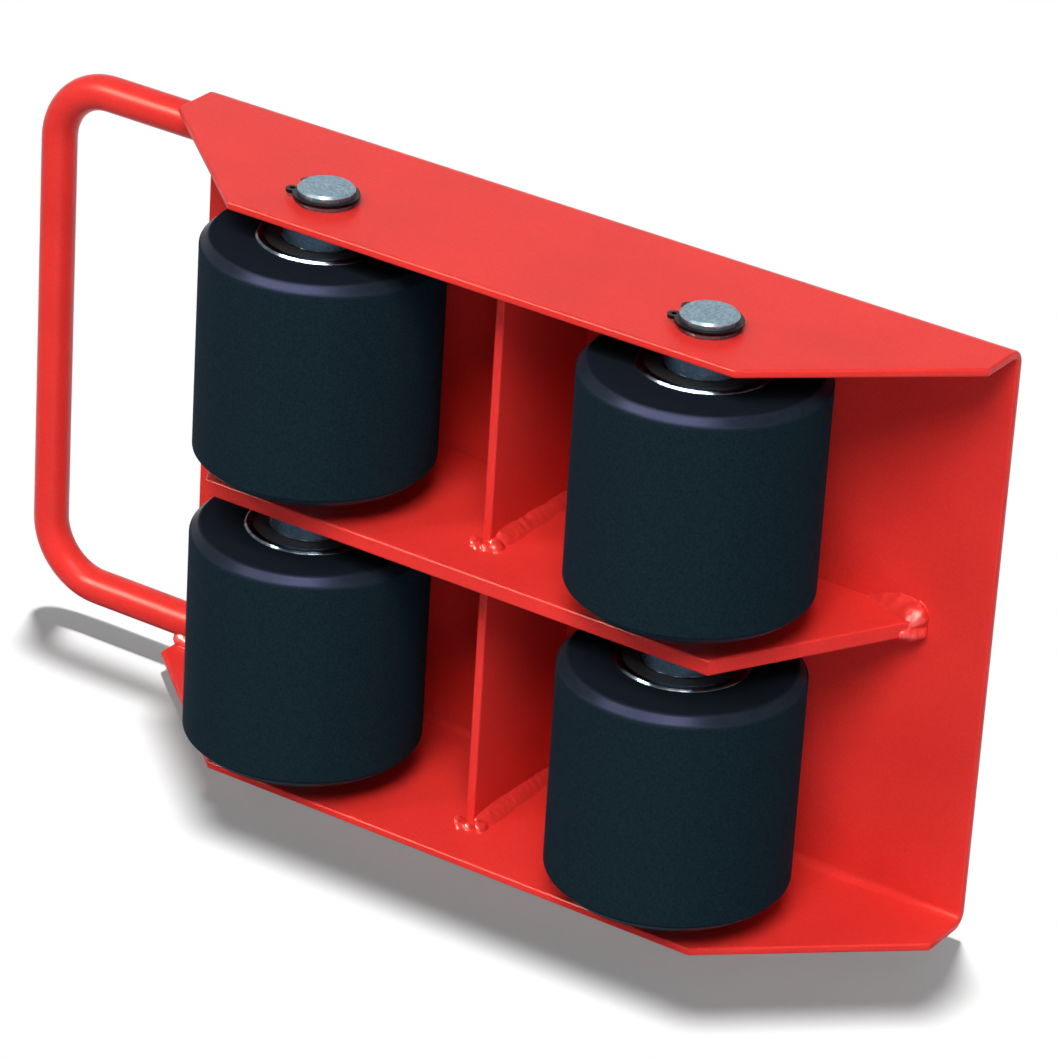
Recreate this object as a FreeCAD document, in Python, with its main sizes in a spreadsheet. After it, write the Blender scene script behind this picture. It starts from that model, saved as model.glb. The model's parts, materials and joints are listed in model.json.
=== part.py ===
import FreeCAD, Part
import math
import os
from types import SimpleNamespace

import Sketcher

# Machine skate: a folded steel channel on four nylon rollers, with a pull handle bent from round bar.
# Millimetres. X runs along the skate with the handle at -X, Y across it along the axles, Z up.
# The origin is on the floor under the middle of the whole skate, handle included.
# Front is the handle end, and left is the -Y side, as seen by the person who pulls.

# Driving sizes; raceShare is the part of a bearing's section that each race takes
driving = [
    ("rollerDiameter", 85),
    ("rollerLength", 83),
    ("rollerBevel", 3.6),
    ("rollerEdgeRound", 1.2),
    ("bearingOuter", 47),
    ("bearingWidth", 14),
    ("bearingBevel", 0.8),
    ("bearingProud", 0.8),
    ("bearingLedge", 4.5),
    ("seatClearance", 0.01),
    ("raceShare", 0.326),
    ("trackDepth", 1.62),
    ("ballCount", 8),
    ("ballClearance", 0.08),
    ("cageRadialGap", 0.6),
    ("cageRim", 0.7),
    ("cagePocketClearance", 0.15),
    ("sealThickness", 1),
    ("sealRecess", 0.4),
    ("sealStepDepth", 1.6),
    ("sealLipClearance", 0.3),
    ("axleDiameter", 20),
    ("axleEndInset", 86.7),
    ("axleLip", 2.3),
    ("axleBevel", 0.8),
    ("axleHoleClearance", 0.2),
    ("spacerLength", 9.45),
    ("spacerWall", 3.8),
    ("spacerClearance", 0.2),
    ("grooveDepth", 0.5),
    ("clipPlay", 1.8),
    ("clipThickness", 1.2),
    ("clipWidth", 2),
    ("clipGap", 4),
    ("clipLugDiameter", 4.6),
    ("clipLugHole", 2),
    ("clipClearance", 0.05),
    ("deckLength", 327),
    ("plateThickness", 3),
    ("bendInside", 3),
    ("edgeRound", 0.9),
    ("deckRollerGap", 9.8),
    ("cheekBelowAxle", 22.9),
    ("cheekUpright", 22.8),
    ("cheekEndCut", 62.4),
    ("webThickness", 6),
    ("webFootInset", 0.8),
    ("webFrontInset", 15.7),
    ("webRearInset", 22.9),
    ("webEndCut", 40.9),
    ("webWeldLeg", 4.5),
    ("ribThickness", 3.5),
    ("ribHeight", 53.6),
    ("ribOffset", -3.6),
    ("ribFoldGap", 2),
    ("ribWeldLeg", 4),
    ("handleBar", 13),
    ("handleReach", 62.2),
    ("handleCheekGap", 1.3),
    ("handleBendRadius", 23),
    ("handleOverlap", 46),
]

doc = FreeCAD.newDocument("MachineSkate")
sheet = doc.addObject("Spreadsheet::Sheet", "Sheet")
for row, (alias, number) in enumerate(driving, start=1):
    sheet.set(f"A{row}", alias)
    sheet.set(f"B{row}", str(number))
    sheet.setAlias(f"B{row}", alias)
doc.recompute()


# A length knows its number and the sheet formula that gives it, so that both stay the same.
class Length:
    def __init__(self, value, formula):
        self.value = value
        self.formula = formula

    def __add__(self, other):
        other = asLength(other)
        return Length(self.value + other.value, f"({self.formula} + {other.formula})")

    def __sub__(self, other):
        other = asLength(other)
        return Length(self.value - other.value, f"({self.formula} - {other.formula})")

    def __mul__(self, other):
        other = asLength(other)
        return Length(self.value * other.value, f"({self.formula} * {other.formula})")

    def __truediv__(self, other):
        other = asLength(other)
        return Length(self.value / other.value, f"({self.formula} / {other.formula})")

    def __neg__(self):
        return Length(-self.value, f"(0 - {self.formula})")

    # The other leg of a right triangle with this as its longest side
    def legBeside(self, leg):
        root = math.sqrt(self.value ** 2 - leg.value ** 2)
        return Length(root, f"sqrt({self.formula} * {self.formula} - {leg.formula} * {leg.formula})")

    # A point on a circle of this radius, with the angle in degrees
    def polar(self, degrees):
        angle = math.radians(degrees)
        across = Length(self.value * math.cos(angle), f"({self.formula} * cos({degrees} deg))")
        upward = Length(self.value * math.sin(angle), f"({self.formula} * sin({degrees} deg))")
        return across, upward


def asLength(item):
    if isinstance(item, Length):
        return item
    return Length(item, str(item))


size = SimpleNamespace(**{alias: Length(number, f"Sheet.{alias}") for alias, number in driving})

# Places that several pieces share
zero = asLength(0)
axleHeight = size.rollerDiameter / 2
deckUnder = size.rollerDiameter + size.deckRollerGap
loadHeight = deckUnder + size.plateThickness
deckCentre = (size.handleReach + size.handleBar / 2) / 2
halfDeck = size.deckLength / 2
axleReach = halfDeck - size.axleEndInset
bearingEnd = size.rollerLength / 2 + size.bearingProud
spacerMiddle = bearingEnd + size.spacerLength / 2
halfBay = bearingEnd + size.spacerLength
webFace = size.webThickness / 2
bayMiddle = webFace + halfBay
cheekInner = bayMiddle + halfBay
cheekOuter = cheekInner + size.plateThickness
cheekFoot = axleHeight - size.cheekBelowAxle
webFoot = cheekFoot + size.webFootInset
webFront = size.webFrontInset - halfDeck
webRear = halfDeck - size.webRearInset
ribFoot = deckUnder - size.ribHeight
ribClip = size.bendInside + size.ribFoldGap
ribFace = size.ribOffset + size.ribThickness / 2
axleHole = size.axleDiameter / 2 + size.axleHoleClearance
handleHeight = deckUnder - size.handleBar / 2
handleLegY = cheekInner - size.handleCheekGap - size.handleBar / 2
grooveStart = cheekOuter + size.clipPlay
grooveEnd = grooveStart + size.clipThickness + size.clipClearance * 2
clipMiddle = (grooveStart + grooveEnd) / 2
bearingMiddle = bearingEnd - size.bearingWidth / 2
raceWall = (size.bearingOuter - size.axleDiameter) / 2 * size.raceShare
innerLand = size.axleDiameter / 2 + raceWall
outerLand = size.bearingOuter / 2 - raceWall
pitchRadius = (innerLand + outerLand) / 2
ballRadius = (outerLand - innerLand) / 2 + size.trackDepth
sealSeat = outerLand + size.sealStepDepth
sealStep = size.bearingWidth / 2 - size.sealThickness - size.sealRecess
sealMiddle = sealStep + size.sealThickness / 2

sides = {"left": -1, "right": 1}
ends = {"front": -1, "rear": 1}
nodes = []


# Geometry is compared to within this many millimetres
closeEnough = 1e-4
fullTurn = 360


# Document helpers
def bind(item, path, length):
    item.setExpression(path, length.formula)


def makeBody(label):
    body = doc.addObject("PartDesign::Body", label)
    body.Label = label
    return body


def makeSketch(body, name, role, offset=zero):
    sketch = body.newObject("Sketcher::SketchObject", name)
    plane = next(item for item in body.Origin.OriginFeatures if item.Role == role)
    sketch.AttachmentSupport = [(plane, "")]
    sketch.MapMode = "FlatFace"
    bind(sketch, ".AttachmentOffset.Base.z", offset)
    return sketch


def holdValue(sketch, constraint, length):
    name = f"value{sketch.ConstraintCount}"
    index = sketch.addConstraint(constraint)
    sketch.renameConstraint(index, name)
    bind(sketch, f"Constraints.{name}", length)


def holdPoint(sketch, geometry, end, across, upward):
    holdValue(sketch, Sketcher.Constraint("DistanceX", -1, 1, geometry, end, across.value), across)
    holdValue(sketch, Sketcher.Constraint("DistanceY", -1, 1, geometry, end, upward.value), upward)


def vector(across, upward):
    return FreeCAD.Vector(across.value, upward.value, 0)


def addOutline(sketch, points):
    points = [(asLength(across), asLength(upward)) for across, upward in points]
    lines = []
    for start, finish in zip(points, points[1:] + points[:1]):
        lines.append(sketch.addGeometry(Part.LineSegment(vector(*start), vector(*finish))))
    for line, following in zip(lines, lines[1:] + lines[:1]):
        sketch.addConstraint(Sketcher.Constraint("Coincident", line, 2, following, 1))
    for line, point in zip(lines, points):
        holdPoint(sketch, line, 1, *point)


def addCircle(sketch, across, upward, radius):
    centre = (asLength(across), asLength(upward))
    upright = FreeCAD.Vector(0, 0, 1)
    circle = sketch.addGeometry(Part.Circle(vector(*centre), upright, radius.value))
    holdPoint(sketch, circle, 3, *centre)
    holdValue(sketch, Sketcher.Constraint("Radius", circle, radius.value), radius)


def pad(body, name, sketch, length, centred=True):
    feature = body.newObject("PartDesign::Pad", name)
    feature.Profile = sketch
    feature.Midplane = centred
    bind(feature, "Length", length)
    return feature


# A cut through the whole body, both ways from the sketch, which must take material away
def cutThrough(body, name, sketch):
    doc.recompute()
    before = body.Shape.Volume
    feature = body.newObject("PartDesign::Pocket", name)
    feature.Profile = sketch
    feature.Type = "ThroughAll"
    feature.Midplane = True
    doc.recompute()
    if body.Shape.Volume >= before:
        raise RuntimeError(f"{body.Label}: {name} cuts nothing")
    return feature


def turn(body, kind, name, sketch):
    feature = body.newObject(kind, name)
    feature.Profile = sketch
    feature.ReferenceAxis = (sketch, ["V_Axis"])
    feature.Angle = fullTurn
    return feature


# Rounds the edges that the test picks from the body as it stands
def roundEdges(body, name, radius, picks):
    doc.recompute()
    base = body.Tip
    shape = base.Shape
    names = [f"Edge{number}" for number, edge in enumerate(shape.Edges, start=1) if picks(shape, edge)]
    if not names:
        raise RuntimeError(f"{body.Label}: {name} finds no edge")
    feature = body.newObject("PartDesign::Fillet", name)
    feature.Base = (base, names)
    bind(feature, "Radius", radius)
    return feature


# True where one of the edge's two faces is a cut edge of the plate and the other is its skin
def betweenRimAndSkin(isRim):
    def picks(shape, edge):
        faces = shape.ancestorsOfType(edge, Part.Face)
        return len(faces) == 2 and isRim(faces[0]) != isRim(faces[1])
    return picks


def flatNormal(face):
    if not isinstance(face.Surface, Part.Plane):
        return None
    return face.normalAt(0, 0)


def near(first, second):
    return abs(first - second) < closeEnough


def placeCopy(label, source, across=zero, along=zero, upward=zero):
    copy = doc.addObject("Part::Compound", label)
    copy.Label = label
    copy.Links = [source]
    bind(copy, ".Placement.Base.x", across)
    bind(copy, ".Placement.Base.y", along)
    bind(copy, ".Placement.Base.z", upward)
    return copy


def makeGroup(label, members):
    group = doc.addObject("Part::Compound", label)
    group.Label = label
    group.Links = members
    return group


def onDeck(item):
    bind(item, ".Placement.Base.x", deckCentre)
    nodes.append(item)


# Frame channel: deck and cheeks folded from one plate, with slanted cheek ends and axle holes
def makeChannel():
    body = makeBody("frame_channel")
    section = makeSketch(body, "channelSection", "YZ_Plane")
    addOutline(section, [
        (-cheekOuter, loadHeight),
        (cheekOuter, loadHeight),
        (cheekOuter, cheekFoot),
        (cheekInner, cheekFoot),
        (cheekInner, deckUnder),
        (-cheekInner, deckUnder),
        (-cheekInner, cheekFoot),
        (-cheekOuter, cheekFoot),
    ])
    pad(body, "channelPad", section, size.deckLength)

    def foldAt(halfY, height):
        def picks(shape, edge):
            middle = edge.CenterOfMass
            return near(abs(middle.y), halfY.value) and near(middle.z, height.value) and near(middle.x, 0)
        return picks

    roundEdges(body, "outerFolds", size.bendInside + size.plateThickness, foldAt(cheekOuter, loadHeight))
    roundEdges(body, "innerFolds", size.bendInside, foldAt(cheekInner, deckUnder))

    slant = makeSketch(body, "cheekSlants", "XZ_Plane")
    for side in ends.values():
        addOutline(slant, [
            (halfDeck * side, loadHeight - size.cheekUpright),
            (halfDeck * side, cheekFoot),
            ((halfDeck - size.cheekEndCut) * side, cheekFoot),
        ])
    cutThrough(body, "cheekEnds", slant)

    holes = makeSketch(body, "axleHoles", "XZ_Plane")
    for side in ends.values():
        addCircle(holes, axleReach * side, axleHeight, axleHole)
    cutThrough(body, "axleHolesCut", holes)

    def isRim(face):
        normal = flatNormal(face)
        if normal is None or near(abs(normal.y), 1):
            return False
        return not near(abs(normal.z), 1) or near(face.CenterOfMass.z, cheekFoot.value)

    roundEdges(body, "plateEdges", size.edgeRound, betweenRimAndSkin(isRim))
    onDeck(body)


# Centre web: a thicker plate on edge under the deck, slanted at both ends
def makeWeb():
    body = makeBody("centre_web")
    outline = makeSketch(body, "webOutline", "XZ_Plane")
    addOutline(outline, [
        (webFront, deckUnder),
        (webRear, deckUnder),
        (webRear - size.webEndCut, webFoot),
        (webFront + size.webEndCut, webFoot),
    ])
    pad(body, "webPad", outline, size.webThickness)
    holes = makeSketch(body, "webHoles", "XZ_Plane")
    for side in ends.values():
        addCircle(holes, axleReach * side, axleHeight, axleHole)
    cutThrough(body, "webHolesCut", holes)

    def isRim(face):
        normal = flatNormal(face)
        return normal is not None and not near(abs(normal.y), 1) and not near(normal.z, 1)

    roundEdges(body, "webEdges", size.edgeRound, betweenRimAndSkin(isRim))
    onDeck(body)


# Cross rib: fills a bay from web to cheek, with the corner at the fold clipped off
def makeRib(sideName, side):
    body = makeBody(f"cross_rib_{sideName}")
    outline = makeSketch(body, "ribOutline", "YZ_Plane", size.ribOffset)
    addOutline(outline, [
        (webFace * side, deckUnder),
        ((cheekInner - ribClip) * side, deckUnder),
        (cheekInner * side, deckUnder - ribClip),
        (cheekInner * side, ribFoot),
        (webFace * side, ribFoot),
    ])
    pad(body, "ribPad", outline, size.ribThickness)

    def isRim(face):
        normal = flatNormal(face)
        return normal is not None and near(normal.z, -1)

    def picks(shape, edge):
        along = edge.BoundBox
        return betweenRimAndSkin(isRim)(shape, edge) and along.YLength > along.XLength

    roundEdges(body, "ribEdges", size.edgeRound, picks)
    onDeck(body)


# Web end welds: a bead that wraps each end of the web where it stands on the deck
def makeWebWelds():
    lean = size.webEndCut / (deckUnder - webFoot) * size.webWeldLeg
    beads = []
    for endName, webEnd, outward in (("front", webFront, -1), ("rear", webRear, 1)):
        body = makeBody(f"webBead_{endName}")
        outline = makeSketch(body, "beadSection", "XZ_Plane")
        addOutline(outline, [
            (webEnd, deckUnder),
            (webEnd + size.webWeldLeg * outward, deckUnder),
            (webEnd - lean * outward, deckUnder - size.webWeldLeg),
        ])
        pad(body, "beadPad", outline, size.webThickness + size.webWeldLeg * 2)
        beads.append(body)
    onDeck(makeGroup("web_end_welds", beads))


# Rib welds: fillet beads on the rear face of each rib, along the web and along the cheek
def makeRibWelds():
    beadHeight = size.ribHeight - ribClip
    beads = []
    for sideName, side in sides.items():
        for wallName, wall, inward in (("web", webFace, 1), ("cheek", cheekInner, -1)):
            body = makeBody(f"ribBead_{sideName}_{wallName}")
            section = makeSketch(body, "beadSection", "XY_Plane", ribFoot)
            addOutline(section, [
                (ribFace, wall * side),
                (ribFace + size.ribWeldLeg, wall * side),
                (ribFace, (wall + size.ribWeldLeg * inward) * side),
            ])
            pad(body, "beadPad", section, beadHeight, centred=False)
            beads.append(body)
    onDeck(makeGroup("rib_welds", beads))


def addLine(sketch, start, finish):
    line = sketch.addGeometry(Part.LineSegment(vector(*start), vector(*finish)))
    holdPoint(sketch, line, 1, *start)
    holdPoint(sketch, line, 2, *finish)
    return line


def addBend(sketch, centre, startDegrees, endDegrees):
    radius = size.handleBendRadius
    circle = Part.Circle(vector(*centre), FreeCAD.Vector(0, 0, 1), radius.value)
    arc = Part.ArcOfCircle(circle, math.radians(startDegrees), math.radians(endDegrees))
    bend = sketch.addGeometry(arc)
    holdValue(sketch, Sketcher.Constraint("Radius", bend, radius.value), radius)
    return bend


# Pull handle: one bar, with two legs under the deck, two bends and the grip
def makeHandle():
    body = makeBody("pull_handle")
    legEnd = size.handleOverlap - halfDeck
    grip = -halfDeck - size.handleReach
    bendX = grip + size.handleBendRadius
    bendY = handleLegY - size.handleBendRadius
    route = makeSketch(body, "handleRoute", "XY_Plane", handleHeight)
    leftLeg = addLine(route, (legEnd, -handleLegY), (bendX, -handleLegY))
    leftBend = addBend(route, (bendX, -bendY), 180, 270)
    crossRun = addLine(route, (grip, -bendY), (grip, bendY))
    rightBend = addBend(route, (bendX, bendY), 90, 180)
    rightLeg = addLine(route, (bendX, handleLegY), (legEnd, handleLegY))
    # Each bend starts and ends where its two straight runs do
    for run, runEnd, bend, bendEnd in ((leftLeg, 2, leftBend, 2), (crossRun, 1, leftBend, 1),
                                       (crossRun, 2, rightBend, 2), (rightLeg, 1, rightBend, 1)):
        route.addConstraint(Sketcher.Constraint("Coincident", run, runEnd, bend, bendEnd))
    section = makeSketch(body, "handleSection", "YZ_Plane", legEnd)
    addCircle(section, -handleLegY, handleHeight, size.handleBar / 2)
    bar = body.newObject("PartDesign::AdditivePipe", "handleBar")
    bar.Profile = section
    bar.Spine = (route, [f"Edge{number + 1}" for number in range(route.GeometryCount)])
    onDeck(body)


# Handle welds: the corner under each leg, between it and the cheek beside it, filled flush with the leg
def makeHandleWelds():
    beads = []
    for sideName, side in sides.items():
        block = doc.addObject("Part::Box", f"handleBlock_{sideName}")
        bind(block, "Length", size.handleOverlap)
        bind(block, "Width", cheekInner - handleLegY)
        bind(block, "Height", size.handleBar / 2)
        bind(block, ".Placement.Base.x", -halfDeck)
        bind(block, ".Placement.Base.y", -cheekInner if side < 0 else handleLegY)
        bind(block, ".Placement.Base.z", handleHeight - size.handleBar / 2)
        leg = doc.addObject("Part::Cylinder", f"handleLeg_{sideName}")
        bind(leg, "Radius", size.handleBar / 2)
        bind(leg, "Height", size.handleOverlap)
        leg.Placement.Rotation = FreeCAD.Rotation(FreeCAD.Vector(0, 1, 0), 90)
        bind(leg, ".Placement.Base.x", -halfDeck)
        bind(leg, ".Placement.Base.y", handleLegY * side)
        bind(leg, ".Placement.Base.z", handleHeight)
        bead = doc.addObject("Part::Cut", f"handleBead_{sideName}")
        bead.Base = block
        bead.Tool = leg
        beads.append(bead)
    onDeck(makeGroup("handle_welds", beads))


# A piece turned about the Y axis, from an outline of radius and place along the axis
def makeTurned(label, points):
    body = makeBody(label)
    outline = makeSketch(body, f"{label}_outline", "XY_Plane")
    addOutline(outline, points)
    turn(body, "PartDesign::Revolution", f"{label}_turned", outline)
    return body


def ring(inner, outer, width):
    return [(inner, -width / 2), (outer, -width / 2), (outer, width / 2), (inner, width / 2)]


# A whole outline from the half of it on the +Y side
def mirrored(upperHalf):
    return [(across, -along) for across, along in reversed(upperHalf)] + upperHalf


# Ball track: a groove round the axis, a little wider than the balls
def cutTrack(body):
    doc.recompute()
    before = body.Shape.Volume
    section = makeSketch(body, f"{body.Label}_track", "XY_Plane")
    addCircle(section, pitchRadius, 0, ballRadius + size.ballClearance)
    turn(body, "PartDesign::Groove", f"{body.Label}_groove", section)
    doc.recompute()
    if body.Shape.Volume >= before:
        raise RuntimeError(f"{body.Label}: the ball track cuts nothing")


# Axle: a plain bar with bevelled ends and a groove for a circlip outside each cheek
def makeAxle():
    radius = size.axleDiameter / 2
    floor = radius - size.grooveDepth
    tip = grooveEnd + size.axleLip
    outerHalf = [
        (radius, grooveStart),
        (floor, grooveStart),
        (floor, grooveEnd),
        (radius, grooveEnd),
        (radius, tip - size.axleBevel),
        (radius - size.axleBevel, tip),
        (zero, tip),
    ]
    return makeTurned("axleShape", mirrored(outerHalf))


# Circlip: an open ring in the axle's groove, with two lugs at the gap for the pliers
def makeCirclip():
    body = makeBody("circlipShape")
    inner = size.axleDiameter / 2 - size.grooveDepth + size.clipClearance
    lugRadius = size.clipLugDiameter / 2
    lugY = size.clipGap / 2 + lugRadius
    lugX = (inner + lugRadius).legBeside(lugY)
    rings = makeSketch(body, "clipRing", "XZ_Plane")
    addCircle(rings, 0, 0, inner)
    addCircle(rings, 0, 0, inner + size.clipWidth)
    pad(body, "clipRingPad", rings, size.clipThickness)
    gap = makeSketch(body, "clipGapOutline", "XZ_Plane")
    addOutline(gap, [
        (zero, -size.clipGap / 2),
        (zero, size.clipGap / 2),
        (-size.axleDiameter, size.clipGap / 2),
        (-size.axleDiameter, -size.clipGap / 2),
    ])
    cutThrough(body, "clipGapCut", gap)
    lugs = makeSketch(body, "clipLugs", "XZ_Plane")
    eyes = makeSketch(body, "clipEyes", "XZ_Plane")
    for side in sides.values():
        addCircle(lugs, -lugX, lugY * side, lugRadius)
        addCircle(eyes, -lugX, lugY * side, size.clipLugHole / 2)
    pad(body, "clipLugPad", lugs, size.clipThickness)
    cutThrough(body, "clipEyeCut", eyes)
    return body


# Spacer: a tube on the axle that keeps the bearing's inner race off the cheek or web
def makeSpacer():
    bore = size.axleDiameter / 2 + size.spacerClearance
    return makeTurned("spacerShape", ring(bore, bore + size.spacerWall, size.spacerLength))


# Roller: solid nylon with bevelled shoulders, a bearing seat in each end and a bore between them
def makeRoller():
    radius = size.rollerDiameter / 2
    half = size.rollerLength / 2
    seat = size.bearingOuter / 2 + size.seatClearance
    seatFloor = bearingEnd - size.bearingWidth
    shoulder = radius - size.rollerBevel
    upperHalf = [
        (radius, half - size.rollerBevel),
        (shoulder, half),
        (seat, half),
        (seat, seatFloor),
        (seat - size.bearingLedge, seatFloor),
    ]
    body = makeTurned("rollerShape", mirrored(upperHalf))

    def onBevel(shape, edge):
        circle = edge.Curve
        if not isinstance(circle, Part.Circle):
            return False
        return near(circle.Radius, radius.value) or near(circle.Radius, shoulder.value)

    roundEdges(body, "rollerShoulders", size.rollerEdgeRound, onBevel)
    return body


# Outer race: a ring with the ball track inside and a step for a seal at each face
def makeOuterRace():
    outer = size.bearingOuter / 2
    half = size.bearingWidth / 2
    body = makeTurned("outerRaceShape", mirrored([
        (outer, half - size.bearingBevel),
        (outer - size.bearingBevel, half),
        (sealSeat, half),
        (sealSeat, sealStep),
        (outerLand, sealStep),
    ]))
    cutTrack(body)
    return body


# Inner race: a ring on the axle with the ball track outside
def makeInnerRace():
    bore = size.axleDiameter / 2 + size.seatClearance
    body = makeTurned("innerRaceShape", ring(bore, innerLand, size.bearingWidth))
    cutTrack(body)
    return body


# Seal: a flat ring that sits in the outer race and stops short of the inner race
def makeSeal():
    lip = innerLand + size.sealLipClearance
    rim = sealSeat - size.seatClearance
    return makeTurned("sealShape", ring(lip, rim, size.sealThickness))


# Cage: a ring on the pitch circle with a round pocket for each ball
def makeCage():
    pocketRadius = ballRadius + size.cagePocketClearance
    width = (pocketRadius + size.cageRim) * 2
    inner = innerLand + size.cageRadialGap
    outer = outerLand - size.cageRadialGap
    body = makeTurned("cageShape", ring(inner, outer, width))
    doc.recompute()
    before = body.Shape.Volume
    hole = makeSketch(body, "cagePocket", "YZ_Plane")
    addCircle(hole, 0, 0, pocketRadius)
    pocket = body.newObject("PartDesign::Pocket", "cagePocketCut")
    pocket.Profile = hole
    pocket.Type = "ThroughAll"
    pocket.Reversed = True
    axis = next(item for item in body.Origin.OriginFeatures if item.Role == "Y_Axis")
    pattern = body.newObject("PartDesign::PolarPattern", "cagePockets")
    pattern.Originals = [pocket]
    pattern.Axis = (axis, [""])
    pattern.Angle = fullTurn
    bind(pattern, "Occurrences", size.ballCount)
    body.Tip = pattern
    doc.recompute()
    if body.Shape.Volume >= before:
        raise RuntimeError("cage: the pockets cut nothing")
    return body


# Balls: one bearing's set, evenly spaced on the pitch circle
def makeBalls():
    count = int(size.ballCount.value)
    balls = []
    for number in range(count):
        ball = doc.addObject("Part::Sphere", f"ball{number}")
        across, upward = pitchRadius.polar(number * fullTurn / count)
        bind(ball, "Radius", ballRadius)
        bind(ball, ".Placement.Base.x", across)
        bind(ball, ".Placement.Base.z", upward)
        balls.append(ball)
    return makeGroup("ballSet", balls)


# Frame
makeChannel()
makeWeb()
for sideName, side in sides.items():
    makeRib(sideName, side)
makeWebWelds()
makeRibWelds()
makeHandle()
makeHandleWelds()

# Running gear: each shape is made once and placed where the axles carry it
axle = makeAxle()
circlip = makeCirclip()
spacer = makeSpacer()
roller = makeRoller()
outerRace = makeOuterRace()
innerRace = makeInnerRace()
seal = makeSeal()
cage = makeCage()
ballSet = makeBalls()
clips = []
for endName, end in ends.items():
    axleX = deckCentre + axleReach * end
    nodes.append(placeCopy(f"axle_{endName}", axle, axleX, zero, axleHeight))
    for sideName, side in sides.items():
        where = f"{endName}_{sideName}"
        middle = bayMiddle * side
        clips.append(placeCopy(f"clip_{where}", circlip, axleX, clipMiddle * side, axleHeight))
        nodes.append(placeCopy(f"roller_{where}", roller, axleX, middle, axleHeight))
        sets = []
        seals = []
        for faceName, face in (("outer", side), ("inner", -side)):
            place = f"{where}_{faceName}"
            bearingY = middle + bearingMiddle * face
            spacerY = middle + spacerMiddle * face
            nodes.append(placeCopy(f"spacer_{place}", spacer, axleX, spacerY, axleHeight))
            nodes.append(placeCopy(f"outer_race_{place}", outerRace, axleX, bearingY, axleHeight))
            nodes.append(placeCopy(f"inner_race_{place}", innerRace, axleX, bearingY, axleHeight))
            nodes.append(placeCopy(f"cage_{place}", cage, axleX, bearingY, axleHeight))
            sets.append(placeCopy(f"balls_{place}", ballSet, axleX, bearingY, axleHeight))
            for rim in (-1, 1):
                sealY = bearingY + sealMiddle * rim
                seals.append(placeCopy(f"seal_{place}_{len(seals)}", seal, axleX, sealY, axleHeight))
        nodes.append(makeGroup(f"bearing_balls_{where}", sets))
        nodes.append(makeGroup(f"bearing_seals_{where}", seals))
nodes.append(makeGroup("axle_circlips", clips))

# Every object must have come out whole before anything is written
doc.recompute()
for item in doc.Objects:
    if "Invalid" in item.State or "Error" in item.State:
        raise RuntimeError(f"{item.Label} failed: {item.State}")
os.makedirs("parts", exist_ok=True)
for node in nodes:
    if node.Shape.isNull() or not node.Shape.isValid():
        raise RuntimeError(f"{node.Label} has no valid shape")
for node in nodes:
    node.Shape.exportStep(f"parts/{node.Label}.step")
    box = node.Shape.BoundBox
    print(f"{node.Label}: {len(node.Shape.Solids)} solids, {node.Shape.Volume:.1f} mm3,"
          f" x {box.XMin:.2f} to {box.XMax:.2f}, y {box.YMin:.2f} to {box.YMax:.2f},"
          f" z {box.ZMin:.2f} to {box.ZMax:.2f}")
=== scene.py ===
import json
import math
import random

import bpy
from mathutils import Matrix, Vector

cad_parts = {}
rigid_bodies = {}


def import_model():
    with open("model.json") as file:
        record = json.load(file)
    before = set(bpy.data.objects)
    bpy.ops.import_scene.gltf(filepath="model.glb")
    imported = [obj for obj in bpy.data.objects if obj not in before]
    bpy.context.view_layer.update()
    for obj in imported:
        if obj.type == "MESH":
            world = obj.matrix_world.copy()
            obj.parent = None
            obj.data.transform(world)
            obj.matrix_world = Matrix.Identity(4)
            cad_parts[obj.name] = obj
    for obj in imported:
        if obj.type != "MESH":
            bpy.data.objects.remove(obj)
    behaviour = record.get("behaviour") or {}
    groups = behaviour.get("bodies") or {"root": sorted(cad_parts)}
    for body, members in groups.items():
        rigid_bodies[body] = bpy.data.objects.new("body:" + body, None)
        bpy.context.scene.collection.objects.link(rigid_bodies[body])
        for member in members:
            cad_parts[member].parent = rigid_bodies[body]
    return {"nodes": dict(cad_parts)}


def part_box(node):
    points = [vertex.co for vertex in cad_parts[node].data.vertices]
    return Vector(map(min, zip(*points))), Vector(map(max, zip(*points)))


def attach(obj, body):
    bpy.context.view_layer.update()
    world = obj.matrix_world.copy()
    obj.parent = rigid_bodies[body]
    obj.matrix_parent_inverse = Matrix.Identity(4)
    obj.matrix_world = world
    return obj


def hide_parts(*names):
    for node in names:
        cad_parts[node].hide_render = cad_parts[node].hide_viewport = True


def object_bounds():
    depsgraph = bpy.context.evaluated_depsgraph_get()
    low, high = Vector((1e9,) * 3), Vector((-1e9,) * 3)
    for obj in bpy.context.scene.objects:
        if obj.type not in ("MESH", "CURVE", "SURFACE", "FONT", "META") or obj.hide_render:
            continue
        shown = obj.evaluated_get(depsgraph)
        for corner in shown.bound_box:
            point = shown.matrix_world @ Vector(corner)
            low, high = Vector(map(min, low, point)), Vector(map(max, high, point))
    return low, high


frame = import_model()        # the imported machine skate: one mesh for each node, in metres
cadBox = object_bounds()
nodes = frame["nodes"]
mm = 0.001
print("frame:", len(nodes), "nodes")


# Camera: the skate stands on its right side, and the photographer looks down into its underside
cameraSetup = {
    "place": (983.5, -901.8, -1440.5),   # mm
    "forward": (-0.47646, 0.45146, 0.75443),
    "up": (-0.29435, -0.89048, 0.34698),
    "lens": 197.8,                       # mm
    "sensor": 36.0,                      # mm
}


def addCamera(setup):
    forward = Vector(setup["forward"]).normalized()
    right = forward.cross(Vector(setup["up"])).normalized()
    up = right.cross(forward)
    turn = Matrix((right, up, -forward)).transposed()
    bpy.ops.object.camera_add(location=Vector(setup["place"]) * mm, rotation=turn.to_euler())
    camera = bpy.context.object
    camera.data.lens = setup["lens"]
    camera.data.sensor_width = setup["sensor"]
    bpy.context.scene.camera = camera


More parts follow.
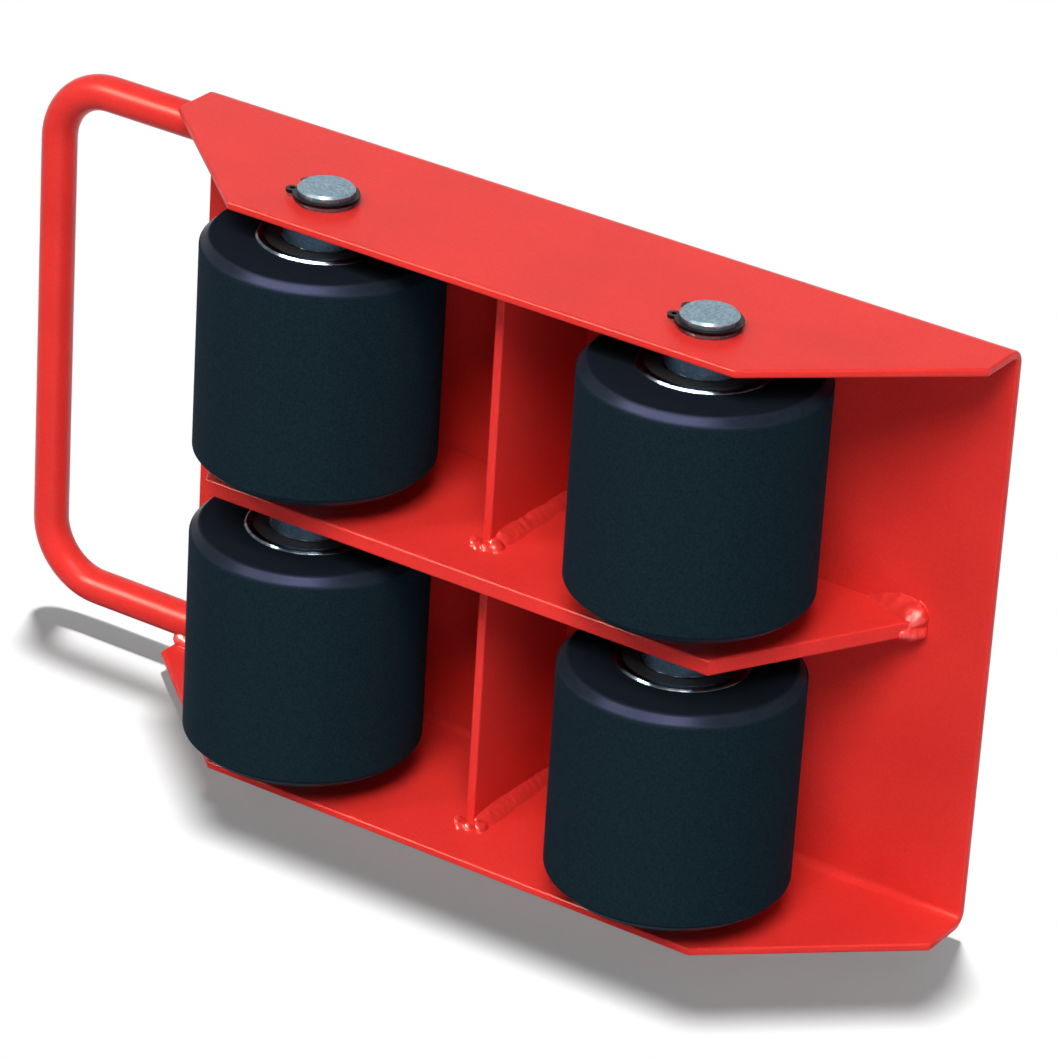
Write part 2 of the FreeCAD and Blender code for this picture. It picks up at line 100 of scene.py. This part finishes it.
addCamera(cameraSetup)
bpy.context.scene.view_settings.view_transform = "Standard"
print("camera set")


# Colours are written as sRGB hex and turned to linear here
def linear(hexColour):
    channels = [int(hexColour[start:start + 2], 16) / 255 for start in (1, 3, 5)]
    return tuple(c / 12.92 if c <= 0.04045 else ((c + 0.055) / 1.055) ** 2.4 for c in channels) + (1.0,)


# Adds a node; a setting is a socket's value, a colour ramp's stops or one of the node's own properties
def addNode(tree, kind, settings=None, links=None):
    node = tree.nodes.new(kind)
    for name, value in (settings or {}).items():
        if name == "stops":
            ramp = node.color_ramp.elements
            ramp[0].position, ramp[0].color = value[0]
            ramp[1].position, ramp[1].color = value[-1]
            for position, colour in value[1:-1]:
                ramp.new(position).color = colour
        elif isinstance(name, int) or name in node.inputs:
            node.inputs[name].default_value = value
        else:
            setattr(node, name, value)
    for name, source in (links or {}).items():
        tree.links.new(source, node.inputs[name])
    return node


def newMaterial(name):
    material = bpy.data.materials.new(name)
    material.use_nodes = True
    tree = material.node_tree
    shader = tree.nodes["Principled BSDF"]
    place = addNode(tree, "ShaderNodeTexCoord").outputs["Object"]
    return material, tree, shader, place


# Sprayed enamel: saturated red with soft clouds in the film, orange peel and a few nibs of dust under it
enamelFinish = {
    "thin": "#C62C2B",
    "body": "#D13130",
    "thick": "#DC3634",
    "cloud": 38,         # mm
    "peel": 2.4,         # mm
    "peelDepth": 0.010,  # mm
    "nibSpacing": 16,    # mm
    "nibSize": 0.6,      # mm, drawn larger than real dust so that it shows
    "nibHeight": 0.06,   # mm
    "grain": 0.9,        # mm, drawn coarser than the real pigment grain so that it shows
    "grainShare": 0.42,
    "roughness": (0.29, 0.36),
    "ior": 1.32,
    "specular": 0.20,
}
weldGloss = {"specular": 0.95, "ior": 1.42}     # over a weld the film has run thick, so it is glossier there


def sprayedEnamel(name, finish):
    material, tree, shader, place = newMaterial(name)
    cloud = addNode(tree, "ShaderNodeTexNoise", {"Scale": 1000 / finish["cloud"], "Detail": 3.0},
                    {"Vector": place})
    grain = addNode(tree, "ShaderNodeTexNoise", {"Scale": 1000 / finish["grain"], "Detail": 1.0},
                    {"Vector": place})
    film = addNode(tree, "ShaderNodeMix", {"data_type": "FLOAT", 0: finish["grainShare"]},
                   {2: cloud.outputs["Fac"], 3: grain.outputs["Fac"]})
    colour = addNode(tree, "ShaderNodeValToRGB",
                     {"stops": [(0.25, linear(finish["thin"])), (0.50, linear(finish["body"])),
                                (0.75, linear(finish["thick"]))]},
                     {"Fac": film.outputs[0]})
    tree.links.new(colour.outputs["Color"], shader.inputs["Base Color"])
    gloss = addNode(tree, "ShaderNodeMapRange",
                    {"From Min": 0.1, "From Max": 0.9, "To Min": finish["roughness"][0],
                     "To Max": finish["roughness"][1]},
                    {"Value": cloud.outputs["Fac"]})
    tree.links.new(gloss.outputs["Result"], shader.inputs["Roughness"])
    peel = addNode(tree, "ShaderNodeTexNoise", {"Scale": 1000 / finish["peel"], "Detail": 2.0},
                   {"Vector": place})
    dust = addNode(tree, "ShaderNodeTexVoronoi", {"Scale": 1000 / finish["nibSpacing"]}, {"Vector": place})
    nib = addNode(tree, "ShaderNodeMapRange",
                  {"From Min": 0.0, "From Max": finish["nibSize"] / finish["nibSpacing"],
                   "To Min": finish["nibHeight"] / finish["peelDepth"], "To Max": 0.0},
                  {"Value": dust.outputs["Distance"]})
    height = addNode(tree, "ShaderNodeMath", {"operation": "ADD"},
                     {0: peel.outputs["Fac"], 1: nib.outputs["Result"]})
    bump = addNode(tree, "ShaderNodeBump", {"Distance": finish["peelDepth"] * mm, "Strength": 1.0},
                   {"Height": height.outputs[0]})
    tree.links.new(bump.outputs["Normal"], shader.inputs["Normal"])
    shader.inputs["IOR"].default_value = finish["ior"]
    shader.inputs["Specular IOR Level"].default_value = finish["specular"]
    return material


# Cast nylon: blue-black and turned to size, so it has fine rings, a tread dulled by dust, end faces darkened
# as painted shade, and lighter shoulders that are partly rubbed wear and partly a painted sheen
nylonFinish = {
    "dark": "#09171F",
    "light": "#14252E",
    # end: painted shade that darkens each roller's end faces
    "end": "#060B0E",
    # worn: lighter shoulders, partly rubbed wear and partly a painted sheen
    "wornAndSheen": "#1B2230",
    "grain": 0.8,        # mm, drawn coarser than the real grain so that it shows
    "ring": 6.91,        # mm, drawn far coarser than the tool marks so that they show
    "ringDepth": 0.006,  # mm
    "scratch": 2.5,      # mm
    "shoulder": 3.6,     # mm, the bevel at each end of a roller
    "softening": 0.8,    # mm from an edge to where its band is full
    "startShare": 0.2,   # of that, before the band begins
    "reach": 120,        # mm, a little more than from the skate's middle to a roller's far end
    "roughness": (0.82, 0.94),
    "shoulderRoughness": 0.32,
    "ior": 1.53,
    "specular": 0.045,
    "tint": "#AEB2F5",
}
waveTurn = 20            # radians that a Wave texture turns through in a metre at a scale of 1


def castNylon(finish):
    material, tree, shader, place = newMaterial("castNylonBlack")
    grain = addNode(tree, "ShaderNodeTexNoise", {"Scale": 1000 / finish["grain"], "Detail": 3.0},
                    {"Vector": place})
    colour = addNode(tree, "ShaderNodeValToRGB",
                     {"stops": [(0.25, linear(finish["dark"])), (0.75, linear(finish["light"]))]},
                     {"Fac": grain.outputs["Fac"]})
    # the shoulders lie within a bevel's width of each end, both ways from the middle of the skate
    low, high = (corner.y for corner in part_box("roller_front_right"))
    bevel = finish["shoulder"] * mm
    soft = finish["softening"] * mm
    start = soft * finish["startShare"]
    reach = finish["reach"] * mm
    shoulders = []
    for near, far in ((low, low + bevel), (high - bevel, high)):
        shoulders += [(near + start, 0.0), (near + soft, 1.0), (far - soft, 1.0), (far - start, 0.0)]
    # painted shade: the end faces, out to a softening from each end, take the darker end colour
    shadedEnds = [(low, 1.0), (low + soft, 0.0), (high - soft, 0.0), (high, 1.0)]
    shoulderStops, shadedEndStops = ([(spot / reach, (white, white, white, 1.0)) for spot, white in spots]
                               for spots in (shoulders, shadedEnds))
    axes = addNode(tree, "ShaderNodeSeparateXYZ", {}, {0: place})
    across = addNode(tree, "ShaderNodeMath", {"operation": "ABSOLUTE"}, {0: axes.outputs["Y"]})
    part = addNode(tree, "ShaderNodeMath", {"operation": "DIVIDE", 1: reach}, {0: across.outputs[0]})
    shoulder = addNode(tree, "ShaderNodeValToRGB", {"stops": shoulderStops}, {"Fac": part.outputs[0]})
    scratch = addNode(tree, "ShaderNodeTexNoise", {"Scale": 1000 / finish["scratch"], "Detail": 5.0},
                      {"Vector": place})
    # partly rubbed wear and partly painted sheen: noise that breaks up the lighter shoulder band
    rubbedAndSheen = addNode(tree, "ShaderNodeMapRange", {"From Min": 0.3, "From Max": 0.65, "To Min": 0.35},
                     {"Value": scratch.outputs["Fac"]})
    # painted shade: mixes the darker end colour into the end faces
    end = addNode(tree, "ShaderNodeValToRGB", {"stops": shadedEndStops}, {"Fac": part.outputs[0]})
    body = addNode(tree, "ShaderNodeMix", {"data_type": "RGBA", 7: linear(finish["end"])},
                   {0: end.outputs["Color"], 6: colour.outputs["Color"]})
    # partly rubbed wear and partly painted sheen: lightens the shoulders where the scratch noise allows
    wearAndSheen = addNode(tree, "ShaderNodeMath", {"operation": "MULTIPLY"},
                   {0: shoulder.outputs["Color"], 1: rubbedAndSheen.outputs["Result"]})
    wornAndSheen = addNode(tree, "ShaderNodeMix", {"data_type": "RGBA", 7: linear(finish["wornAndSheen"])},
                   {0: wearAndSheen.outputs[0], 6: body.outputs[2]})
    tree.links.new(wornAndSheen.outputs[2], shader.inputs["Base Color"])
    satin = addNode(tree, "ShaderNodeMapRange",
                    {"From Min": 0.3, "From Max": 0.7, "To Min": finish["roughness"][0],
                     "To Max": finish["roughness"][1]},
                    {"Value": scratch.outputs["Fac"]})
    polish = addNode(tree, "ShaderNodeMix", {"data_type": "FLOAT", 3: finish["shoulderRoughness"]},
                     {0: shoulder.outputs["Color"], 2: satin.outputs["Result"]})
    tree.links.new(polish.outputs[0], shader.inputs["Roughness"])
    rings = addNode(tree, "ShaderNodeTexWave",
                    {"wave_type": "BANDS", "bands_direction": "Y", "Distortion": 1.5, "Detail": 1.0,
                     "Scale": 1000 / finish["ring"] * 2 * math.pi / waveTurn},
                    {"Vector": place})
    bump = addNode(tree, "ShaderNodeBump", {"Distance": finish["ringDepth"] * mm, "Strength": 1.0},
                   {"Height": rings.outputs["Fac"]})
    tree.links.new(bump.outputs["Normal"], shader.inputs["Normal"])
    shader.inputs["IOR"].default_value = finish["ior"]
    shader.inputs["Specular IOR Level"].default_value = finish["specular"]
    shader.inputs["Specular Tint"].default_value = linear(finish["tint"])
    return material


# Zinc plate: bright steel under blue passivate, mottled where the plating took unevenly
zincFinish = {
    "axle": ("#5A7688", "#7F99A8", "#A9BBC5"),
    "spacer": ("#4A6A8A", "#7393B2", "#A9BED2"),
    "mottle": 0.9,       # mm
    "roughness": (0.22, 0.42),
}


def zincPlate(piece, finish):
    material, tree, shader, place = newMaterial("bluePassivatedZinc_" + piece)
    dark, middle, bright = finish[piece]
    mottle = addNode(tree, "ShaderNodeTexNoise", {"Scale": 1000 / finish["mottle"], "Detail": 6.0,
                                                  "Roughness": 0.65},
                     {"Vector": place})
    colour = addNode(tree, "ShaderNodeValToRGB",
                     {"stops": [(0.30, linear(dark)), (0.52, linear(middle)), (0.72, linear(bright))]},
                     {"Fac": mottle.outputs["Fac"]})
    tree.links.new(colour.outputs["Color"], shader.inputs["Base Color"])
    dull = addNode(tree, "ShaderNodeMapRange",
                   {"From Min": 0.3, "From Max": 0.7, "To Min": finish["roughness"][1],
                    "To Max": finish["roughness"][0]},
                   {"Value": mottle.outputs["Fac"]})
    tree.links.new(dull.outputs["Result"], shader.inputs["Roughness"])
    shader.inputs["Metallic"].default_value = 1.0
    return material


# Plain metals and rubber: a colour that drifts a little, its own gloss, and on a ground ring a broken edge
plainFinish = {          # grain and edge in mm
    "phosphatedSpringSteel": {"dark": "#140F0E", "light": "#2C2321", "grain": 1.6, "roughness": 0.36,
                              "metallic": 1.0},
    "groundBearingSteel": {"dark": "#39424A", "light": "#5A656E", "grain": 2.5, "roughness": 0.16,
                           "metallic": 1.0, "edge": 0.6},
    "pressedCageSteel": {"dark": "#8E9296", "light": "#B9BCBF", "grain": 3.0, "roughness": 0.35,
                         "metallic": 1.0},
    "nitrileSealRubber": {"dark": "#0B0D0F", "light": "#15181B", "grain": 2.0, "roughness": 0.60,
                          "metallic": 0.0},
}


def plainSurface(name):
    finish = plainFinish[name]
    material, tree, shader, place = newMaterial(name)
    drift = addNode(tree, "ShaderNodeTexNoise", {"Scale": 1000 / finish["grain"], "Detail": 3.0},
                    {"Vector": place})
    colour = addNode(tree, "ShaderNodeValToRGB",
                     {"stops": [(0.35, linear(finish["dark"])), (0.65, linear(finish["light"]))]},
                     {"Fac": drift.outputs["Fac"]})
    tree.links.new(colour.outputs["Color"], shader.inputs["Base Color"])
    shader.inputs["Roughness"].default_value = finish["roughness"]
    shader.inputs["Metallic"].default_value = finish["metallic"]
    if "edge" in finish:
        edge = addNode(tree, "ShaderNodeBevel", {"Radius": finish["edge"] * mm})
        tree.links.new(edge.outputs["Normal"], shader.inputs["Normal"])
    return material


enamel = sprayedEnamel("sprayedEnamelRed", enamelFinish)
weldEnamel = sprayedEnamel("sprayedEnamelRedOnWelds", {**enamelFinish, **weldGloss})
bearingSteel = plainSurface("groundBearingSteel")
finishByPrefix = {
    "frame_channel": enamel,
    "centre_web": enamel,
    "cross_rib_": enamel,
    "pull_handle": enamel,
    "web_end_welds": weldEnamel,
    "rib_welds": weldEnamel,
    "handle_welds": weldEnamel,
    "roller_": castNylon(nylonFinish),
    "axle_circlips": plainSurface("phosphatedSpringSteel"),
    "axle_": zincPlate("axle", zincFinish),
    "spacer_": zincPlate("spacer", zincFinish),
    "inner_race_": bearingSteel,
    "outer_race_": bearingSteel,
    "bearing_balls_": bearingSteel,
    "cage_": plainSurface("pressedCageSteel"),
    "bearing_seals_": plainSurface("nitrileSealRubber"),
}
for name, node in nodes.items():
    prefix = next(start for start in finishByPrefix if name.startswith(start))
    for slot in node.material_slots:
        slot.material = finishByPrefix[prefix]
print("materials on", len(nodes), "nodes")


# Weld beads: flat pools of metal laid along a run, melted together by a remesh and painted with the frame
weldSetup = {
    "voxel": 0.4,          # mm
    "step": 1.4,           # mm from one pool to the next
    "smoothing": 5,
    "lumps": {"poolLumps": {"size": 5.0, "height": 0.75},      # mm
              "poolRipples": {"size": 1.7, "height": 0.38}},   # mm
    "segments": 20,
    "rings": 12,
    "jitter": 0.25,        # mm
    "seed": 11,
    "sunk": (0.3, 1.6),    # mm under a plate's face between which the weld has run into the plate
    "toe": 2.5,            # mm that it has run past the bead's edge
}
webWeld = {                # runs of pools, each pool in mm from the web's end at the deck:
    "runs": [              # outwards, across, down; then its half width, half thickness and turn in degrees
        [(-21.0, -3.3, 0.6, 2.4, 0.6, 45), (-14.0, -4.0, 1.2, 4.0, 1.5, 45), (-9.0, -4.4, 2.0, 5.4, 2.0, 45),
         (-5.2, -3.6, 3.2, 5.2, 2.5, 40), (-2.6, -2.6, 2.2, 3.2, 2.5, 30)],
        [(-5.4, 1.8, 8.2, 2.3, 2.1, 0), (-3.0, 2.2, 4.6, 2.7, 2.5, 0), (-1.6, 2.8, 1.6, 2.8, 2.6, 0)],
        [(-6.0, 4.6, 2.8, 3.8, 2.2, -45), (-13.0, 4.4, 2.0, 3.6, 2.0, -45)],
    ],
    "length": 25,          # mm of the web's end that it covers
    "height": 9,           # mm
    "slope": 0.6,          # mm that it keeps back inside the web for each mm of height, as the end slopes
}
ribWeld = {                # mm along the rib from its foot, and the leg of the bead there
    "legs": [(3, 3.8), (8, 4.8), (14, 4.9), (20, 4.3), (27, 4.5), (35, 4.2), (46, 4.0)],
    "leg": 5.0,            # mm, the widest
    "seat": 0.33,          # legs from the corner to a pool's middle
    "pool": (0.90, 0.30, 0.75),     # a pool's half sizes in legs: across the corner, thick, along
    # dabs round the foot: mm from the rib's middle, off the wall, from the foot; half width and thickness
    "dabs": [(-3.8, 0.2, -0.4, 2.8, 1.0), (-1.5, 0.2, -2.2, 2.6, 0.9), (1.2, 0.3, -1.4, 2.2, 1.1),
             (4.8, 0.6, 0.4, 3.0, 1.3)],
}
handleWeld = {             # mm
    "inset": 2.3,          # off the cheek
    "rise": 2.2,           # above the leg's underside
    "wide": 3.2,
    "thick": 2.0,
    "toe": 4.0,            # down the cheek from the leg's underside
    "start": 0.7,          # of its width, from the front of the CAD weld to the first pool
}
cornerTurn = 45            # degrees that a bead leans between the two plates of a corner
webLow, webHigh = (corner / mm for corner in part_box("centre_web"))
ribLow, ribHigh = (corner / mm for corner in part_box("cross_rib_left"))
handleWeldLow, handleWeldHigh = (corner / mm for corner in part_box("handle_welds"))
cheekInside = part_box("spacer_front_left_outer")[0].y / mm
weldDraw = random.Random(weldSetup["seed"])
for name, lump in weldSetup["lumps"].items():
    bpy.data.textures.new(name, "CLOUDS").noise_scale = lump["size"] * mm


# Every pool of a run, filled in between the ones that are given: centre, half sizes and turn
def fillRun(keys):
    filled = []
    for (near, nearSize, turn), (far, farSize, _) in zip(keys, keys[1:]):
        count = max(1, round((far - near).length / weldSetup["step"]))
        filled += [(near.lerp(far, step / count), nearSize.lerp(farSize, step / count), turn)
                   for step in range(count)]
    return filled + [keys[-1]]


def meltPools(name, runs, sunken, node):
    bpy.ops.object.select_all(action="DESELECT")
    pools = []
    for low, high in sunken:
        low, high = Vector(low), Vector(high)
        bpy.ops.mesh.primitive_cube_add(size=mm, location=(low + high) / 2 * mm)
        pools.append(bpy.context.object)
        pools[-1].scale = [abs(side) for side in high - low]
    for centre, size, turn in [pool for run in runs for pool in fillRun(run)]:
        shift = Vector([weldDraw.uniform(-1, 1) * weldSetup["jitter"] for _ in range(3)])
        bpy.ops.mesh.primitive_uv_sphere_add(segments=weldSetup["segments"], ring_count=weldSetup["rings"],
                                             radius=mm, location=(centre + shift) * mm, rotation=turn)
        pools.append(bpy.context.object)
        pools[-1].scale = size
    for pool in pools:
        pool.select_set(True)
    bpy.ops.object.join()
    bead = bpy.context.object
    bead.name = name
    bpy.ops.object.transform_apply(location=True, rotation=True, scale=True)
    melt = bead.modifiers.new("melt", "REMESH")
    melt.mode = "VOXEL"
    melt.voxel_size = weldSetup["voxel"] * mm
    for lumpName, lump in weldSetup["lumps"].items():
        swell = bead.modifiers.new(lumpName, "DISPLACE")
        swell.texture = bpy.data.textures[lumpName]
        swell.texture_coords = "LOCAL"
        swell.strength = lump["height"] * mm
    settle = bead.modifiers.new("settle", "SMOOTH")
    settle.iterations = weldSetup["smoothing"]
    for modifier in list(bead.modifiers):
        bpy.ops.object.modifier_apply(modifier=modifier.name)
    bpy.ops.object.shade_smooth()
    bead.data.materials.clear()
    bead.data.materials.append(weldEnamel)
    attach(bead, "frame")
    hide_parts(node)


shallow, deep = weldSetup["sunk"]
toe = weldSetup["toe"]
for end, tip, outward in (("front", webLow.x, -1), ("rear", webHigh.x, 1)):
    runs = []
    for run in webWeld["runs"]:
        runs.append([(Vector((tip + outward * out, across, webHigh.z - down)), Vector((wide, thick, wide)),
                      (math.radians(turn), 0, 0)) for out, across, down, wide, thick, turn in run])
    back = tip - outward * (webWeld["length"] + toe)
    spread = webHigh.y + webWeld["height"]
    foot = webHigh.z - webWeld["height"] - toe
    front = tip - outward * (webWeld["height"] + toe) * webWeld["slope"]
    sunken = [((back, -spread, webHigh.z + shallow), (tip, spread, webHigh.z + deep))]
    sunken += [((back, away * (webHigh.y - shallow), foot),
                (front, away * (webHigh.y - deep), webHigh.z + deep)) for away in (-1, 1)]
    meltPools("webEndBead_" + end, runs, sunken, "web_end_welds")

for side, outward in (("left", -1), ("right", 1)):
    corners = (("web", outward * webHigh.y, outward), ("cheek", -outward * cheekInside, -outward))
    for place, wall, away in corners:
        turn = (0, 0, math.radians(-cornerTurn * away))
        bead = []
        for along, leg in ribWeld["legs"]:
            seat = leg * ribWeld["seat"]
            bead.append((Vector((ribHigh.x + seat, wall + away * seat, ribLow.z + along)),
                         Vector(ribWeld["pool"]) * leg, turn))
        ribMiddle = (ribLow.x + ribHigh.x) / 2
        dabs = [[(Vector((ribMiddle + along, wall + away * off, ribLow.z + up)),
                  Vector((wide, thick, wide)), turn)] for along, off, up, wide, thick in ribWeld["dabs"]]
        spread = ribWeld["leg"] + toe
        foot = ribLow.z + shallow
        top = ribLow.z + ribWeld["legs"][-1][0]
        sunken = [((ribHigh.x - deep, wall - away * deep, foot),
                   (ribHigh.x - shallow, wall + away * spread, top)),
                  ((ribLow.x - spread, wall - away * deep, foot - spread),
                   (ribHigh.x + spread, wall - away * shallow, top))]
        meltPools("ribBead_" + side + "_" + place, [bead] + dabs, sunken, "rib_welds")
    # under the handle's leg, where it lies along the cheek
    wide = handleWeld["wide"]
    first = handleWeldLow.x + wide * handleWeld["start"]
    last = handleWeldHigh.x - wide
    off = outward * (handleWeldHigh.y - handleWeld["inset"])
    up = handleWeldLow.z + handleWeld["rise"]
    turn = (math.radians(cornerTurn * outward), 0, 0)
    bead = [(Vector((along, off, up)), Vector((wide, handleWeld["thick"], wide)), turn)
            for along in (first, last)]
    foot = handleWeldLow.z - handleWeld["toe"]
    sunken = [((first - shallow, outward * (handleWeldHigh.y + shallow), foot),
               (last, outward * (handleWeldHigh.y + deep), handleWeldHigh.z))]
    meltPools("handleBead_" + side, [bead], sunken, "handle_welds")
print("weld beads laid")


# Studio: soft lamps on the skate, white all round, and a lamp for each floor's shadow alone
studio = {
    "ambient": 0.18,
    "keyColour": "#FFF1DC",
    "skateLamps": {         # the way to each lamp, its share of full light, and how wide it looks in degrees
        "keyLight": ((0.24, -0.79, -0.565), 1.13, 28),
        "keyCore": ((-0.45, -0.65, -0.61), 0.30, 8),
        "endLight": ((0.80, -0.08, -0.60), 0.10, 40),
    },
    "fills": {              # they leave no highlight
        "bayLight": ((0.55, 0.45, -0.70), 0.22, 30),
        "deckLight": ((0.10, 0.52, 0.85), 0.55, 30),
        "rearLight": ((-0.45, 0.65, 0.61), 0.60, 40),
    },
    "gleamColour": "#FFE9CF",
    "gleams": {             # seen only as highlights on the paint of edges and round bars
        "edgeGleam": ((-0.45, -0.60, -0.66), 2.90, 20),
    },
    # a long strip overhead, seen only as the gleam along the rollers' shoulders and bearing rims
    "shoulderStrip": {"place": (-50, -950, -440), "length": 1300, "width": 200,     # mm
                      "power": 72},                                                # watts
    # under the skate as it lies in the photograph, of thin slats that face its camera and no view from above
    "photoFloor": {"size": 900, "fadeFrom": 330, "fadeTo": 430, "slat": 0.8, "step": 1.0,   # mm
                   "from": -30.5, "to": 115, "seenBy": "Is Camera Ray",                     # mm
                   "paper": ("ShaderNodeBsdfTranslucent", "#6A6A6A"), "glow": 0.15,
                   "lamp": ((-0.08, -0.99, 0.12), 46.0, 5)},
    # the same floor, as the rollers and the paint mirror it
    "mirrorFloor": {"size": 900, "fadeFrom": 330, "fadeTo": 430, "lift": 0.1,               # mm
                    "turn": 90, "seenBy": "Is Glossy Ray",                                  # degrees
                    "paper": ("ShaderNodeBsdfDiffuse", "#6A6A6A"), "glow": 0.15,
                    "lamp": ((-0.08, -0.99, 0.11), 6.0, 4)},
    # under the skate as it rolls
    "serviceFloor": {"size": 3000, "fadeFrom": 900, "fadeTo": 1400,                         # mm
                     "seenBy": "Is Camera Ray",
                     "paper": ("ShaderNodeBsdfDiffuse", "#8A8A8A"), "glow": 0.20,
                     "lamp": ((0.15, -0.20, 0.97), 3.60, 24)},
}
floorsLeftOut = bpy.data.collections.new("floorsLeftOut")


def addLamp(name, way, share, width, receivers):
    bpy.ops.object.light_add(type="SUN")
    lamp = bpy.context.object
    lamp.name = name
    lamp.rotation_euler = Vector(way).to_track_quat("Z", "Y").to_euler()
    lamp.data.energy = share * math.pi
    lamp.data.angle = math.radians(width)
    lamp.light_linking.receiver_collection = receivers
    return lamp


def addStrip(name, setup, pieces):
    bpy.ops.object.light_add(type="AREA", location=Vector(setup["place"]) * mm)
    lamp = bpy.context.object
    lamp.name = name
    lamp.rotation_euler = Vector(setup["place"]).to_track_quat("Z", "Y").to_euler()
    lamp.data.shape = "RECTANGLE"
    lamp.data.size = setup["length"] * mm
    lamp.data.size_y = setup["width"] * mm
    lamp.data.energy = setup["power"]
    lamp.visible_diffuse = False
    lamp.visible_camera = False
    alone = bpy.data.collections.new(name + "Alone")
    for piece in pieces:
        alone.objects.link(piece)
    lamp.light_linking.receiver_collection = alone


def addWorld(ambient):
    world = bpy.data.worlds.new("whiteStudio")
    bpy.context.scene.world = world
    world.use_nodes = True
    tree = world.node_tree
    tree.nodes.clear()
    path = addNode(tree, "ShaderNodeLightPath")
    mirror = addNode(tree, "ShaderNodeMath", {"operation": "MAXIMUM"},
                     {0: path.outputs["Is Glossy Ray"], 1: path.outputs["Is Transmission Ray"]})
    seen = addNode(tree, "ShaderNodeMath", {"operation": "MAXIMUM"},
                   {0: path.outputs["Is Camera Ray"], 1: mirror.outputs[0]})
    strength = addNode(tree, "ShaderNodeMapRange", {"To Min": ambient, "To Max": 1.0},
                       {"Value": seen.outputs[0]})
    sky = addNode(tree, "ShaderNodeBackground", {"Color": (1, 1, 1, 1)},
                  {"Strength": strength.outputs["Result"]})
    addNode(tree, "ShaderNodeOutputWorld", {}, {"Surface": sky.outputs[0]})


# A floor shows on its front, to one kind of ray, and fades into the white around it
def addFloor(name, place, casters):
    setup = studio[name]
    bpy.ops.mesh.primitive_plane_add(size=setup["size"] * mm, location=place)
    floor = bpy.context.object
    floor.name = name
    floor.visible_shadow = False
    floor.rotation_euler.x = math.radians(setup.get("turn", 0))
    if "slat" in setup:
        floor.rotation_euler.x = math.radians(180)
        floor.location += Vector((0, setup["slat"] / 2, setup["from"])) * mm
        floor.scale.y = setup["slat"] / setup["size"]
    bpy.ops.object.transform_apply(location=True, rotation=True, scale=True)
    if "slat" in setup:
        slats = floor.modifiers.new("slats", "ARRAY")
        slats.count = round((setup["to"] - setup["from"]) / setup["step"])
        slats.use_relative_offset = False
        slats.use_constant_offset = True
        slats.constant_offset_displace = (0, 0, setup["step"] * mm)
        bpy.ops.object.modifier_apply(modifier=slats.name)
    material, tree, shader, spot = newMaterial("paleFloor_" + name)
    tree.nodes.remove(shader)
    kind, colour = setup["paper"]
    paper = addNode(tree, kind, {"Color": linear(colour)})
    glow = addNode(tree, "ShaderNodeEmission", {"Strength": setup["glow"]})
    pale = addNode(tree, "ShaderNodeAddShader", {}, {0: paper.outputs[0], 1: glow.outputs[0]})
    clear = addNode(tree, "ShaderNodeBsdfTransparent")
    side = addNode(tree, "ShaderNodeNewGeometry")
    path = addNode(tree, "ShaderNodeLightPath")
    unseen = addNode(tree, "ShaderNodeMath", {"operation": "SUBTRACT", 0: 1.0},
                     {1: path.outputs[setup["seenBy"]]})
    through = addNode(tree, "ShaderNodeMath", {"operation": "MAXIMUM"},
                      {0: side.outputs["Backfacing"], 1: unseen.outputs[0]})
    reach = addNode(tree, "ShaderNodeVectorMath", {"operation": "LENGTH"}, {0: spot})
    fade = addNode(tree, "ShaderNodeMapRange",
                   {"From Min": setup["fadeFrom"] * mm, "From Max": setup["fadeTo"] * mm,
                    "interpolation_type": "SMOOTHSTEP"},
                   {"Value": reach.outputs["Value"]})
    gone = addNode(tree, "ShaderNodeMath", {"operation": "MAXIMUM"},
                   {0: through.outputs[0], 1: fade.outputs["Result"]})
    surface = addNode(tree, "ShaderNodeMixShader", {},
                      {0: gone.outputs[0], 1: pale.outputs[0], 2: clear.outputs[0]})
    tree.links.new(surface.outputs[0], tree.nodes["Material Output"].inputs["Surface"])
    floor.data.materials.append(material)
    # the skate's lamps leave the floor out, and the floor's own lamp lights nothing else
    floorsLeftOut.objects.link(floor)
    floorsLeftOut.collection_objects[-1].light_linking.link_state = "EXCLUDE"
    floorAlone = bpy.data.collections.new(name + "Alone")
    floorAlone.objects.link(floor)
    addLamp(name + "Light", *setup["lamp"], floorAlone).light_linking.blocker_collection = casters


for name, lamp in studio["skateLamps"].items():
    addLamp(name, *lamp, floorsLeftOut).data.color = linear(studio["keyColour"])[:3]
painted = bpy.data.collections.new("painted")
for piece in list(bpy.data.objects):
    if any(slot.material in (enamel, weldEnamel) for slot in piece.material_slots):
        painted.objects.link(piece)
for name, lamp in studio["fills"].items():
    addLamp(name, *lamp, floorsLeftOut).visible_glossy = False
for name, lamp in studio["gleams"].items():
    gleam = addLamp(name, *lamp, painted)
    gleam.visible_diffuse = False
    gleam.data.color = linear(studio["gleamColour"])[:3]
addStrip("shoulderStrip", studio["shoulderStrip"],
         [node for name, node in nodes.items() if name.startswith(("roller_", "outer_race_"))])
addWorld(studio["ambient"])
# on the photograph's floor only the painted frame and the axles cast a shadow
casters = bpy.data.collections.new("casters")
for piece in list(painted.objects) + [node for name, node in nodes.items() if name.startswith("axle_")]:
    casters.objects.link(piece)
addFloor("photoFloor", (0, cadBox[1].y, 0), casters)
addFloor("mirrorFloor", (0, cadBox[1].y - studio["mirrorFloor"]["lift"] * mm, 0), casters)
addFloor("serviceFloor", (0, 0, 0), None)
print("studio lit")
